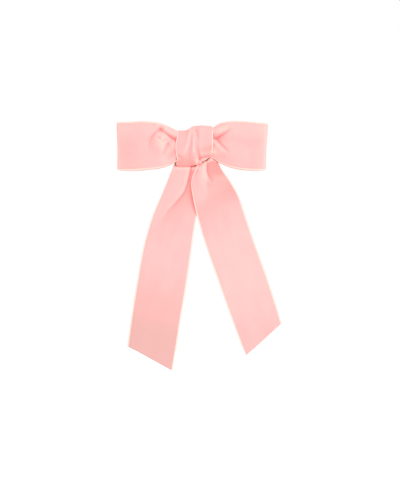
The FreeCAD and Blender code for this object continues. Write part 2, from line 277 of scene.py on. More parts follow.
def fold_share(middle, normals):
    """How deep each place is in a fold, from -1 on a ridge to 1 in a valley."""
    lower = softened(middle, SMOOTHING_ROUNDS) - middle
    return np.clip((lower * normals).sum(axis=2) / FULL_FOLD, -1.0, 1.0)


def ribbon(name, grid, materials):
    """A closed ribbon round a grid: pile in front, weave behind, thin selvedges.

    The grid is its places, how far along the ribbon each is, how far across it each column is, how much light
    or shade is painted on its pile, and how far it greys. Above 0 the pile is painted paler, below 0 deeper.
    """
    middle, run, across, shift, dull = grid
    rows, columns = middle.shape[:2]
    edge_gap = np.minimum(across, across[-1] - across)
    normals = grid_normals(middle)
    points = np.concatenate([side.reshape(-1, 3) for side in ribbon_sides(middle, normals, edge_gap)])
    piece = place(name, points, shell_faces(rows, columns))
    for material in materials:
        piece.data.materials.append(material)
    piece.data.polygons.foreach_set("material_index", ribbon_slots(rows, edge_gap))
    cloth = np.stack([run, np.broadcast_to(across, run.shape), np.zeros_like(run)], axis=2) * MM
    fold = fold_share(middle, normals)
    point_attribute(piece, "cloth", "FLOAT_VECTOR", "vector", [cloth, cloth])
    # The fold value gives the painted ridge highlight and fold shade, the next value painted light and shade,
    # and the last one grey
    point_attribute(piece, "fold", "FLOAT", "value", [fold, fold])
    point_attribute(piece, "shift", "FLOAT", "value", [shift, shift])
    point_attribute(piece, "dull", "FLOAT", "value", [dull, dull])
    return piece


# Materials


def new_material(name, roughness):
    """A material, its node tree and its shader."""
    material = bpy.data.materials.new(name)
    material.use_nodes = True
    tree = material.node_tree
    shader = tree.nodes["Principled BSDF"]
    shader.inputs["Roughness"].default_value = roughness
    return material, tree, shader


def connect(tree, source, socket):
    """Feed a socket from another socket, or set it to a value."""
    if isinstance(source, bpy.types.NodeSocket):
        tree.links.new(source, socket)
    else:
        socket.default_value = source


def attribute(tree, name, output):
    """A socket that reads a point attribute."""
    node = tree.nodes.new("ShaderNodeAttribute")
    node.attribute_name = name
    return node.outputs[output]


def object_place(tree):
    """A socket with the place on the object, in metres."""
    return tree.nodes.new("ShaderNodeTexCoord").outputs["Object"]


def stretched(tree, vector, scale):
    """A place scaled along each axis."""
    node = tree.nodes.new("ShaderNodeMapping")
    node.inputs["Scale"].default_value = scale
    tree.links.new(vector, node.inputs["Vector"])
    return node.outputs["Vector"]


def noise(tree, vector, scale, detail=2.0, roughness=0.5):
    """Cloudy values from 0 to 1."""
    node = tree.nodes.new("ShaderNodeTexNoise")
    tree.links.new(vector, node.inputs["Vector"])
    node.inputs["Scale"].default_value = scale
    node.inputs["Detail"].default_value = detail
    node.inputs["Roughness"].default_value = roughness
    return node.outputs["Fac"]


def wave(tree, vector, scale, direction, distortion=0.0):
    """Bands of values from 0 to 1, a little wavy."""
    node = tree.nodes.new("ShaderNodeTexWave")
    node.bands_direction = direction
    tree.links.new(vector, node.inputs["Vector"])
    node.inputs["Scale"].default_value = scale
    node.inputs["Distortion"].default_value = distortion
    node.inputs["Detail Scale"].default_value = 2.0
    return node.outputs["Fac"]


def between(tree, value, low, high, to_low=0.0, to_high=1.0):
    """A value carried from one range to another, and kept inside it."""
    node = tree.nodes.new("ShaderNodeMapRange")
    tree.links.new(value, node.inputs["Value"])
    for name, number in zip(("From Min", "From Max", "To Min", "To Max"), (low, high, to_low, to_high)):
        node.inputs[name].default_value = number
    return node.outputs["Result"]


def mixed(tree, share, first, second):
    """A colour between two colours, each a tuple or a socket."""
    node = tree.nodes.new("ShaderNodeMix")
    node.data_type = "RGBA"
    connect(tree, share, node.inputs["Factor"])
    connect(tree, first, node.inputs[6])
    connect(tree, second, node.inputs[7])
    return node.outputs[2]


def maths(tree, operation, first, second):
    """The result of one sum or product, each side a number or a socket."""
    node = tree.nodes.new("ShaderNodeMath")
    node.operation = operation
    connect(tree, first, node.inputs[0])
    connect(tree, second, node.inputs[1])
    return node.outputs[0]


def bump(tree, shader, heights, distance, strength=1.0):
    """Fine relief on a shader. The distance is in metres."""
    node = tree.nodes.new("ShaderNodeBump")
    node.inputs["Distance"].default_value = distance
    node.inputs["Strength"].default_value = strength
    tree.links.new(heights, node.inputs["Height"])
    tree.links.new(node.outputs["Normal"], shader.inputs["Normal"])


def colour(red, green, blue):
    """A colour given as a screen shows it, from 0 to 255."""
    parts = [part / 255 for part in (red, green, blue)]
    linear = [p / 12.92 if p <= 0.04045 else ((p + 0.055) / 1.055) ** 2.4 for p in parts]
    return (*linear, 1.0)


# Some of these stand in for light: PALE_PINK also serves as painted light and ridge highlight, SHADED_PINK
# and DEEP_PINK as painted shade, and DULL_PINK as grey that is painted shade at the left tail's end
PINK = colour(246, 161, 160)
PALE_PINK = colour(250, 181, 174)
SHADED_PINK = colour(238, 138, 134)
DEEP_PINK = colour(240, 120, 124)
DULL_PINK = colour(178, 147, 142)
WEAVE_PINK = colour(244, 170, 164)
CREAM = colour(241, 201, 189)
BLUSH_FELT = colour(240, 180, 172)


def velvet():
    """Short pile with a mottled tone, painted paler on ridges and deeper in folds, with painted light,
    painted shade and grey where the mesh asks.
    """
    material, tree, shader = new_material("velvet_pile", 0.85)
    cloth = attribute(tree, "cloth", "Vector")
    fold = attribute(tree, "fold", "Fac")
    shift = attribute(tree, "shift", "Fac")
    dull = attribute(tree, "dull", "Fac")
    mottle = noise(tree, stretched(tree, cloth, (60, 110, 1)), 1.0, detail=3.0)
    pile = noise(tree, cloth, 2600.0, detail=3.0, roughness=0.7)
    base = mixed(tree, between(tree, mottle, 0.35, 0.7, 0.0, 0.3), PINK, PALE_PINK)
    # Painted light where the mesh's signed value is above 0 and painted shade where it is below, then grey
    # where the mesh asks, which at the left tail's end is painted shade
    painted_light = mixed(tree, between(tree, shift, 0.0, 1.0), base, PALE_PINK)
    painted_shade = mixed(tree, between(tree, shift, 0.0, -1.0), painted_light, SHADED_PINK)
    greyed = mixed(tree, dull, painted_shade, DULL_PINK)
    # A painted highlight on ridges and painted shade in folds
    ridge = mixed(tree, between(tree, fold, -0.05, -0.6, 0.0, 0.9), greyed, PALE_PINK)
    deep = mixed(tree, between(tree, fold, 0.05, 0.9, 0.0, 0.75), ridge, DEEP_PINK)
    tips = mixed(tree, between(tree, pile, 0.3, 0.75, 0.0, 0.32), deep, PALE_PINK)
    tree.links.new(tips, shader.inputs["Base Color"])
    tree.links.new(between(tree, pile, 0.2, 0.8, 0.75, 1.0), shader.inputs["Roughness"])
    shader.inputs["Sheen Weight"].default_value = 0.2
    shader.inputs["Sheen Roughness"].default_value = 0.45
    shader.inputs["Sheen Tint"].default_value = colour(255, 214, 206)
    shader.inputs["Specular IOR Level"].default_value = 0.15
    bump(tree, shader, pile, 0.00018, 0.8)
    return material


def reverse():
    """The ribbon's woven back: fine ribs across it, a little shinier than the pile, with painted shade in its
    folds.
    """
    material, tree, shader = new_material("velvet_reverse", 0.55)
    cloth = attribute(tree, "cloth", "Vector")
    fold = attribute(tree, "fold", "Fac")
    weft = wave(tree, cloth, 560.0, "X", 0.6)
    warp = wave(tree, cloth, 420.0, "Y", 0.4)
    threads = maths(tree, "MULTIPLY", weft, between(tree, warp, 0.0, 1.0, 0.6, 1.0))
    mottle = noise(tree, cloth, 140.0, detail=3.0)
    base = mixed(tree, between(tree, mottle, 0.3, 0.7, 0.0, 0.4), WEAVE_PINK, PALE_PINK)
    ribbed = mixed(tree, between(tree, threads, 0.0, 1.0, 0.25, 0.0), base, DEEP_PINK)
    # Painted shade in the woven side's folds
    deep = mixed(tree, between(tree, fold, -0.1, -0.8, 0.0, 0.6), ribbed, DEEP_PINK)
    tree.links.new(deep, shader.inputs["Base Color"])
    tree.links.new(between(tree, threads, 0.0, 1.0, 0.65, 0.48), shader.inputs["Roughness"])
    shader.inputs["Sheen Weight"].default_value = 0.15
    shader.inputs["Sheen Roughness"].default_value = 0.4
    bump(tree, shader, threads, 0.00008, 0.8)
    return material


def selvedge():
    """The pale woven edge, with the weft's turns as small ribs."""
    material, tree, shader = new_material("velvet_selvedge", 0.6)
    cloth = attribute(tree, "cloth", "Vector")
    turns = wave(tree, cloth, 620.0, "X", 0.3)
    soil = noise(tree, cloth, 300.0, detail=2.0)
    base = mixed(tree, between(tree, soil, 0.35, 0.75, 0.0, 0.35), CREAM, PALE_PINK)
    ribbed = mixed(tree, between(tree, turns, 0.0, 1.0, 0.3, 0.0), base, PALE_PINK)
    tree.links.new(ribbed, shader.inputs["Base Color"])
    tree.links.new(between(tree, turns, 0.0, 1.0, 0.7, 0.5), shader.inputs["Roughness"])
    bump(tree, shader, turns, 0.0001, 0.8)
    return material


def felt():
    """Pressed fibres: two sizes of noise, with a soft sheen."""
    material, tree, shader = new_material("pressed_felt", 0.95)
    here = object_place(tree)
    clumps = noise(tree, here, 420.0, detail=4.0, roughness=0.65)
    fibres = noise(tree, stretched(tree, here, (1.0, 1.0, 0.3)), 2600.0, detail=3.0)
    base = mixed(tree, between(tree, clumps, 0.3, 0.75), BLUSH_FELT, CREAM)
    shade = mixed(tree, between(tree, fibres, 0.3, 0.6, 0.35, 0.0), base, DEEP_PINK)
    tree.links.new(shade, shader.inputs["Base Color"])
    shader.inputs["Sheen Weight"].default_value = 0.5
    shader.inputs["Sheen Roughness"].default_value = 0.6
    tree.links.new(between(tree, fibres, 0.2, 0.8, 0.85, 1.0), shader.inputs["Roughness"])
    bump(tree, shader, maths(tree, "ADD", clumps, fibres), 0.0002, 0.7)
    return material


def thread():
    """Polyester thread: a slanted two-ply twist."""
    material, tree, shader = new_material("polyester_thread", 0.4)
    here = stretched(tree, object_place(tree), (1.0, 0.6, 0.6))
    plies = wave(tree, here, 900.0, "DIAGONAL", 0.4)
    base = mixed(tree, plies, DEEP_PINK, PALE_PINK)
    tree.links.new(base, shader.inputs["Base Color"])
    tree.links.new(between(tree, plies, 0.0, 1.0, 0.55, 0.35), shader.inputs["Roughness"])
    bump(tree, shader, plies, 0.00008, 0.8)
    return material


def metal(name, tone, shine, scratch_direction, scratch_depth):
    """Plated or spring steel, with fine brush marks one way and a little haze."""
    material, tree, shader = new_material(name, shine)
    here = object_place(tree)
    marks = noise(tree, stretched(tree, here, scratch_direction), 1500.0, detail=4.0, roughness=0.7)
    haze = noise(tree, here, 160.0, detail=3.0)
    dark = colour(*[part * 0.86 for part in tone])
    base = mixed(tree, between(tree, haze, 0.3, 0.7), colour(*tone), dark)
    marked = mixed(tree, between(tree, marks, 0.35, 0.65, 0.0, 0.25), base, dark)
    tree.links.new(marked, shader.inputs["Base Color"])
    shader.inputs["Metallic"].default_value = 1.0
    scratched = between(tree, marks, 0.2, 0.8, 0.0, 0.16)
    worn = maths(tree, "ADD", scratched, between(tree, haze, 0.3, 0.7, shine, shine + 0.08))
    tree.links.new(worn, shader.inputs["Roughness"])
    bump(tree, shader, marks, scratch_depth, 0.6)
    return material


# The bow

# The loops' outlines as seen from the front, as (x, z), from left to right
LEFT_TOP = [(-61.5, 18.9), (-50.0, 19.1), (-42.0, 19.5), (-34.5, 19.2), (-28.3, 18.4), (-22.9, 16.8)]
RIGHT_TOP = [(19.8, 18.2), (24.4, 19.2), (30.0, 19.7), (36.0, 19.6), (50.8, 18.4), (57.5, 18.0)]
GATHERED_TOP = [(-15.0, 13.0), (-8.0, 9.8), (0.0, 9.2), (8.0, 10.4), (15.1, 15.6)]
LOOP_TOP = LEFT_TOP + GATHERED_TOP + RIGHT_TOP
LEFT_BOTTOM = [(-61.5, -18.6), (-50.0, -18.9), (-42.0, -18.5), (-34.5, -17.8), (-28.3, -17.0)]
RIGHT_BOTTOM = [(24.4, -14.9), (29.5, -16.7), (36.0, -17.9), (46.0, -18.7), (57.5, -18.6)]
GATHERED_BOTTOM = [(-20.0, -14.6), (-13.0, -11.2), (-6.0, -9.8), (4.0, -8.6), (12.7, -8.7), (18.6, -12.3)]
LOOP_BOTTOM = LEFT_BOTTOM + GATHERED_BOTTOM + RIGHT_BOTTOM

# How much the loops' ends lean out for each millimetre of height, and how far their back layer sits
# below the front one
LEFT_END_SHEAR = 0.022
RIGHT_END_SHEAR = 0.055
BACK_LAYER_DROP = 0.15


def loop_path():
    """The ribbon's way round both loops, as (x, y), from its inner end under the lap."""
    left, right = loop_low.x + 0.55, loop_high.x - 0.75
    front, back = LOOP_FRONT_Y, LOOP_BACK_Y
    gather_y = back - 2.5
    return [
        (10.0, back - 1.1),
        (-10.0, back - 1.1),
        (0.4 * left, back - 0.4),
        (0.8 * left, back - 0.9),
        (0.95 * left, back - 2.2),
        (left, (front + back) / 2),
        (0.95 * left, front + 2.8),
        (0.8 * left, front + 1.0),
        (0.6 * left, front + 0.2),
        (0.4 * left, front + 1.0),
        (-16.0, front + 4.4),
        (-7.0, gather_y - 0.6),
        (0.0, gather_y),
        (7.0, gather_y - 0.6),
        (16.0, front + 4.4),
        (0.5 * right, front + 1.2),
        (0.68 * right, front + 0.3),
        (0.82 * right, front + 1.0),
        (0.95 * right, front + 2.8),
        (right, (front + back) / 2),
        (0.95 * right, back - 2.2),
        (0.82 * right, back - 0.9),
        (0.45 * right, back - 0.1),
        (10.0, back),
        (-10.0, back),
    ]


def loop_folds(x, z):
    """How far the front of the loops stands out from its smooth path."""
    pinch = [(-13.0, 4.6), (-15.5, 5.6), (-20.5, 8.9), (-26.6, 13.4)]
    out = crease(x, z, pinch, 3.0, 1.6, lip=1.2, keep=0.35)
    out += dent(x, z, (-26.2, 12.2), 2.2, 1.0)
    out += dent(x, z, (-20.0, -8.5), 3.0, 0.7)
    bend = [(-26.6, 13.2), (-30.5, 10.6), (-33.6, 7.0), (-35.2, 2.6), (-34.9, -2.2)]
    out += crease(x, z, bend, 1.6, 2.8, keep=0.25)
    out += 1.7 * mound(x, z, (-26.5, 2.5), (6.0, 6.5))
    out += crease(x, z, [(-21.5, 1.4), (-23.0, -2.5), (-25.0, -8.5)], 1.1, 1.5, lip=0.3)
    out += crease(x, z, [(-28.4, 6.6), (-26.6, 5.2), (-26.2, 3.4)], 0.7, 0.7, lip=0.3)
    out += crease(x, z, [(-22.6, 5.6), (-24.6, 4.6), (-25.0, 2.6), (-23.6, 1.2)], 0.7, 0.7, lip=0.3)
    out += crease(x, z, [(-21.0, 2.6), (-19.6, 0.4), (-19.8, -2.6)], 0.8, 1.1)
    out += dent(x, z, (-16.0, -6.0), 3.2, 1.2)
    upper = [(13.6, 5.6), (15.5, 6.2), (22.0, 9.7), (29.4, 14.4)]
    out += crease(x, z, upper, 2.7, 1.7, lip=1.0, mirror=-1)
    lower = [(13.6, 6.4), (15.5, 5.8), (20.5, 1.2), (25.4, -3.6), (27.4, -6.8)]
    out += crease(x, z, lower, 1.8, 1.1, lip=0.5)
    out -= 1.2 * mound(x, z, (18.0, 5.8), (6.0, 3.6))
    out += 0.8 * mound(x, z, (19.5, -4.5), (5.0, 4.0))
    out += 0.9 * mound(x, z, (20.5, 13.0), (5.0, 2.8))
    return out


def loop_painted_light(x, z):
    """Painted light and shade on the loops' pile: painted shade at their ends, on the left loop's puff and
    right of the knot, and painted light at the top and beside the knot.
    """
    puff = mound(x, z, (-27.0, 3.0), (8.0, 9.0))
    near_knot = mound(x, z, (21.5, -3.5), (4.5, 6.0))
    beside_knot = hump(np.abs(x), 15.4, 2.0) * ramp(z, -9.0, -4.0) * ramp(-z, -5.0, -1.0)
    outward = 0.25 * ramp(-x, 30.0, 50.0) + 0.15 * ramp(x, 30.0, 45.0)
    upward = 0.3 * ramp(z, 4.0, 14.0)
    return upward - outward * (1 - upward) - 0.45 * puff - 0.5 * near_knot + 1.0 * beside_knot


def loop_band(line, t):
    """The loops before their folds: a band on edge along the path, between its outlines."""
    x = np.repeat(line[:, :1], t.shape[1], axis=1)
    y = np.repeat(line[:, 1:2], t.shape[1], axis=1)
    top, bottom = height(x, LOOP_TOP), height(x, LOOP_BOTTOM)
    is_back = ramp(y, LOOP_BACK_Y - 3.0, LOOP_BACK_Y - 1.0) * ramp(np.abs(x), 8.0, 20.0)
    z = (top + bottom) / 2 + (top - bottom) / 2 * t - BACK_LAYER_DROP * is_back
    shear = np.where(x < 0, LEFT_END_SHEAR, RIGHT_END_SHEAR) * ramp(np.abs(x), 25.0, 50.0)
    return np.stack([x + shear * z * np.sign(x), y, z], axis=2)


def loop_grid():
    """The loops' grid, pleated where the thread pulls it together and folded beside the knot."""
    line = smooth_line(loop_path(), LOOP_ROWS)
    across = width_places()
    t = (2 * across / RIBBON_WIDTH - 1)[None, :]
    points = loop_band(line, t)
    x, y, z = np.moveaxis(points, 2, 0)
    normal = grid_normals(points)
    gather = ramp(-np.abs(x), -19.0, -9.0)
    is_front = ramp(-y, -(LOOP_FRONT_Y + 7.2), -(LOOP_FRONT_Y + 4.2))
    front_side = np.clip(-normal[:, :, 1], 0.0, 1.0) * np.maximum(is_front, gather)
    pleats = gather * np.sin(3.0 * math.pi * t + 0.6)
    out = loop_folds(x, z) * front_side * (1 - 0.8 * gather) + pleats
    wander = 0.35 * np.sin(x / 9.0 + z / 14.0) * np.sin(z / 8.0 + 0.7) * (1 - gather)
    middle = points + normal * (out + wander)[:, :, None]
    run = np.repeat(run_lengths(line)[:, None], len(across), axis=1)
    return middle, run, across, loop_painted_light(x, z), np.zeros_like(run)


# The knot's outlines as seen from the front, as (x, z)
KNOT_TOP = [(-15.5, 12.0), (-7.5, 12.3), (-4.6, 13.4), (-2.0, 15.3), (3.0, 15.8), (8.0, 15.6), (14.5, 14.9)]
KNOT_BOTTOM = [(-15.5, -14.2), (-12.0, -14.9), (-8.0, -15.4), (0.0, -15.2), (6.0, -14.2), (14.5, -13.6)]

# The knot's two selvedges, as (z, x)
KNOT_LEFT = [(-15.5, -15.0), (-12.5, -14.4), (-9.6, -14.1), (-2.0, -15.3), (1.8, -15.1), (10.1, -13.5)]
KNOT_RIGHT = [(-15.0, 4.0), (-10.8, 8.8), (-8.5, 11.5), (-6.6, 13.1), (-2.0, 14.0), (6.0, 14.1), (15.0, 13.9)]

# The lower edge of the panel at the knot's right, as (x, z)
PANEL_BOTTOM = [(1.0, -10.2), (3.0, -9.4), (7.0, -8.1), (10.7, -7.1), (13.5, -6.6), (16.0, -6.4)]

# The section's corners get squarer as the roundness falls below 1. The lap is a share of one turn.
KNOT_ROUNDNESS = 2 / 2.7
KNOT_BACK_LEFT = -14.2
KNOT_LAP = 0.07
LAP_STEP = 0.75


def knot_folds(x, z):
    """How far the knot's front stands out from its smooth section."""
    out = crease(x, z, [(0.6, 12.8), (1.8, 9.6), (2.2, 6.8), (2.6, 4.4)], 1.0, 1.0, lip=0.2)
    out += crease(x, z, [(3.6, -11.0), (2.9, -8.0), (2.3, -4.6), (1.9, -1.0), (1.9, 2.6)], 1.1, 1.2)
    ridge, share = from_line(x, z, [(-3.4, 13.0), (-4.6, 8.0), (-6.0, 0.8), (-8.4, -4.6), (-9.8, -8.0)])
    out += 0.7 * hump(ridge, 0.0, 1.3) * (1 - share**3)
    out += crease(x, z, [(-4.6, -7.0), (-3.6, -2.0), (-2.8, 3.4), (-2.6, 9.6)], 0.9, 1.3)
    out += 0.5 * hump(x, -0.9, 1.1) * ramp(-z, -8.5, -5.0) * ramp(z, -6.5, -2.5)
    out += crease(x, z, [(-12.9, -7.3), (-11.2, -8.4), (-9.0, -10.2)], 0.9, 0.7, lip=0.2)
    out += 0.4 * ramp(x, 2.5, 5.0) * ramp(z, -9.0, -5.0)
    return out


def knot_front(y):
    """1 on the knot's front and 0 on its back."""
    return ramp(-y, -KNOT_MIDDLE_Y - 1.0, -KNOT_MIDDLE_Y + 2.0)


def knot_section(turn, across):
    """The wrap before its folds: a rounded box in section, as wide as its selvedges say."""
    angle = 2 * math.pi * turn
    x0 = np.interp(across, [0.0, RIBBON_WIDTH], [-14.6, 14.0])[None, :]
    top, bottom = height(x0, KNOT_TOP), height(x0, KNOT_BOTTOM)
    c, s = np.cos(angle), np.sin(angle)
    depth = (knot_high.y - knot_low.y) / 2 - 0.6
    y = KNOT_MIDDLE_Y - 0.2 + depth * np.sign(c) * np.abs(c) ** KNOT_ROUNDNESS * np.ones_like(x0)
    z = (top + bottom) / 2 + (top - bottom) / 2 * np.sign(s) * np.abs(s) ** KNOT_ROUNDNESS
    left, right = height(z, KNOT_LEFT), height(z, KNOT_RIGHT)
    left = KNOT_BACK_LEFT + (left - KNOT_BACK_LEFT) * knot_front(y)
    f = (across / RIBBON_WIDTH)[None, :]
    return np.stack([left + (right - left) * f, y, z], axis=2)


def knot_grid():
    """The wrap: round over the top, down the front, under, and up the back, where its ends lap.

    Right of its middle the front is a flatter panel, whose lower edge lies on a deeper layer.
    """
    across = width_places()
    turn = np.linspace(-KNOT_LAP, 1.0 + KNOT_LAP, KNOT_ROWS)[:, None]
    points = knot_section(turn, across)
    x, y, z = np.moveaxis(points, 2, 0)
    front = knot_front(y)
    above_edge = z - height(x, PANEL_BOTTOM)
    on_panel = ramp(x, 1.5, 4.0) * front
    out = knot_folds(x, z) * front
    out -= 1.2 * np.clip(1 - above_edge / 4.0, 0.0, 1.0) ** 2 * on_panel
    out -= 0.6 * ramp(-above_edge, -0.2, 0.7) * on_panel
    out -= 0.6 * (1 + np.sin(1.6 * x)) * ramp(y, KNOT_MIDDLE_Y + 1.0, KNOT_MIDDLE_Y + 3.5)
    out -= LAP_STEP * ramp(turn, 1.0 - KNOT_LAP, 1.0)
    middle = points + grid_normals(points) * out[:, :, None]
    run = run_lengths(middle[:, len(across) // 2])
    # Painted shade on the knot front's left half, deeper on its lower left and on the panel's lower part, and
    # painted light on the roll under the panel's edge
    shift = -0.15 * front * ramp(-x, -4.0, 0.0) - 0.85 * ramp(-z, 3.0, 12.0) * ramp(-x, -2.0, 1.0) * front
    shift -= 1.0 * ramp(-above_edge, -9.5, -3.5) * on_panel
    shift += 1.8 * ramp(-above_edge, 0.9, 2.0) * on_panel
    return middle, np.repeat(run[:, None], len(across), axis=1), across, shift, np.zeros_like(shift)


# The tails' edges as seen from the front, as (x, z), from the top down
TAIL_LEFT_OUTER = [
    (-9.0, 4.0), (-13.0, -6.0), (-17.2, -15.9), (-23.9, -32.2), (-33.1, -53.9),
    (-39.9, -77.2), (-44.3, -100.5), (-50.2, -135.4), (-53.1, -156.0),
]
TAIL_LEFT_INNER = [
    (3.5, 4.0), (3.8, -20.0), (2.6, -45.0), (-0.6, -65.6), (-3.8, -88.9),
    (-7.2, -112.1), (-11.2, -135.4), (-14.6, -158.0), (-17.6, -175.8),
]
TAIL_RIGHT_OUTER = [
    (12.0, 4.0), (16.0, -8.0), (21.6, -19.0), (27.2, -26.8), (34.0, -38.4),
    (39.3, -53.9), (47.2, -77.2), (55.6, -100.5), (63.3, -123.8), (67.3, -137.6),
]
TAIL_RIGHT_INNER = [
    (6.0, 4.0), (4.2, -7.0), (0.8, -16.0), (-2.9, -27.5), (-1.2, -42.0),
    (3.8, -62.0), (8.8, -78.0), (16.8, -101.0), (29.0, -135.4), (39.4, -163.2),
]
LEFT_TAIL_FOLD = [
    (-2.6, -12.0), (-4.4, -22.0), (-6.6, -31.0), (-9.0, -36.2), (-14.0, -42.4), (-21.0, -50.5),
]
TAIL_INSET = 0.45


def tail_grid(left_edge, right_edge, back_y, forward, shift, dull):
    """A hanging strip between two edges.

    forward(x, z, t) says how far it stands out from its top's plane, the function after it how much light
    or shade is painted on its pile, and dull(x, z) how far it greys.
    """
    rows = int(run_lengths(np.array(right_edge))[-1] / GRID_STEP)
    left, right = smooth_line(left_edge, rows), smooth_line(right_edge, rows)
    across = width_places()
    f = (across / RIBBON_WIDTH)[None, :, None]
    flat = left[:, None, :] * (1 - f) + right[:, None, :] * f
    x, z = flat[:, :, 0], flat[:, :, 1]
    y = back_y - TAIL_INSET - forward(x, z, 2 * f[:, :, 0] - 1)
    runs = np.stack([run_lengths(left), run_lengths(right)], axis=1)
    run = runs[:, :1] * (1 - f[:, :, 0]) + runs[:, 1:] * f[:, :, 0]
    return np.stack([x, y, z], axis=2), run, across, shift(x, z), dull(x, z)


def left_tail_forward(x, z, t):
    """The left tail comes out from under the knot, bellies forward, and curls back at its end."""
    below = ramp(-z, 14.0, 26.0)
    wave_line = z + 0.25 * (x + 25.0)
    past_knot = height(z, KNOT_LEFT) - x
    under_loop = height(x, LOOP_BOTTOM) - z
    beside_knot = 0.7 * ramp(past_knot, -0.2, 1.2) * ramp(under_loop, -1.4, 0.8)
    out = 0.6 * below + 2.0 * ramp(-z, 9.0, 14.5) + 4.8 * np.maximum(ramp(-z, 13.2, 16.6), beside_knot)
    out += 2.4 * hump(wave_line, -90.0, 26.0)
    out -= 9.5 * ramp(-wave_line, 88.0, 178.0)
    out += 0.7 * below * (1 - t**2)
    fold = crease(x, z, LEFT_TAIL_FOLD, 0.6, 1.4, lip=0.15, drop=1.7, drop_width=9.0, keep=0.15)
    out += fold * ramp(-z, 11.0, 15.5)
    out += crease(x, z, [(-22.0, -42.0), (-27.5, -52.0), (-31.0, -62.0)], 0.5, 3.0)
    return out


def right_tail_forward(x, z, t):
    """The right tail comes out from under the knot's panel and waves twice on its way down."""
    below = ramp(-z, 9.0, 24.0)
    wave_line = slant(x, z)
    past_knot = x - height(z, KNOT_RIGHT)
    under_loop = height(x, LOOP_BOTTOM) - z
    beside_knot = ramp(past_knot, -0.5, 1.5) * ramp(under_loop, -2.2, 0.6)
    out = 1.6 * below + 2.6 * np.maximum(ramp(-z, 8.5, 12.5), beside_knot)
    out += 3.6 * np.maximum(ramp(-z, 12.0, 16.5), beside_knot)
    out += 2.6 * hump(wave_line, -31.0, 13.0) * ramp(-z, 12.0, 26.0)
    out -= 2.2 * hump(wave_line, -60.0, 14.0)
    out += 2.4 * hump(wave_line, -104.0, 28.0)
    out += 0.6 * below * (1 - t**2)
    line = [(9.3, -8.0), (9.1, -14.0), (9.6, -21.0), (13.8, -28.4)]
    fold = crease(x, z, line, 1.0, 1.3, lip=1.1, drop=1.3, drop_width=7.0)
    fold += crease(x, z, [(4.4, -12.0), (2.3, -17.0), (0.4, -23.0), (-0.8, -29.0)], 1.5, 0.7)
    out += fold * ramp(-z, 8.0, 12.5)
    return out


def slant(x, z):
    """The height along the right tail's slanted waves."""
    return z - 0.55 * (x - 16.0)


def left_tail_painted_shade(x, z):
    """Painted shade in the hollow right of the left tail's long fold, beside the right tail."""
    side, share = from_line(x, z, LEFT_TAIL_FOLD)
    hollow = np.where(side > 0, np.exp(-side / 11.0), np.exp(side / 0.8)) * (1 - 0.4 * share)
    return -1.1 * hollow


def left_tail_grey_shade(x, z):
    """Painted grey shade towards the left tail's end, where it curls back from the light."""
    return 0.85 * ramp(-z - 0.25 * (x + 25.0), 82.0, 150.0)


def right_tail_dull(x, z):
    """A little greyer at the right tail's end."""
    return 0.12 * ramp(-z, 110.0, 150.0)


def right_tail_painted_light(x, z):
    """Painted shade right of the top fold and in one band lower down, painted light left of the fold, and
    lower down painted light that turns to a little painted shade near the end.
    """
    band = hump(slant(x, z), -44.0, 11.0) * 0.4
    shade = ramp(x, 8.6, 10.2) * ramp(z, -46.0, -18.0) * ramp(-z, 7.5, 9.5)
    light = ramp(-x, -9.5, -8.0) * ramp(x, 2.0, 7.0) * ramp(z, -34.0, -22.0) * ramp(-z, 9.0, 13.0)
    along = 0.25 * ramp(-slant(x, z), 60.0, 75.0) - 0.35 * ramp(-slant(x, z), 120.0, 165.0)
    return along - band - shade + 0.9 * light


def soft_pieces():
    """The four lengths of velvet ribbon, each in place of its plain solid."""
    left_tail = tail_grid(
        TAIL_LEFT_OUTER,
        TAIL_LEFT_INNER,
        TAIL_LEFT_BACK_Y,
        left_tail_forward,
        left_tail_painted_shade,
        left_tail_grey_shade,
    )
    right_tail = tail_grid(
        TAIL_RIGHT_INNER,
        TAIL_RIGHT_OUTER,
        TAIL_RIGHT_BACK_Y,
        right_tail_forward,
        right_tail_painted_light,
        right_tail_dull,
    )
    made = [
        ("loop_velvet", loop_grid(), "loop_ribbon", "gathered", ["gather_thread", "felt_pad"]),
        ("knot_velvet", knot_grid(), "knot_wrap", "folded", ["loop_ribbon"]),
        ("tail_left_velvet", left_tail, "tail_left", "hung", ["felt_pad"]),
        ("tail_right_velvet", right_tail, "tail_right", "hung", ["tail_left", "felt_pad"]),
    ]
    materials = [velvet(), reverse(), selvedge()]
    for name, grid, node, held, rests_on in made:
        piece = ribbon(name, grid, materials)
        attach(piece, "root")
        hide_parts(node)


# The pad and the thread

# The pad: the radius of its arch, its thickness, its corners and how wide its rounded rim is
PAD_ARCH_RADIUS = 93.6
PAD_THICKNESS = 1.0
PAD_CORNER = 3.0
PAD_RIM = 0.45
PAD_ROWS = 120
PAD_COLUMNS = 24

# The thread: its radius, its turns, and how far each turn wanders along the clip
THREAD_RADIUS = 0.25
THREAD_TURNS = 3
THREAD_SLANT = 0.2
TURN_SEGMENTS = 96
THREAD_SIDES = 10


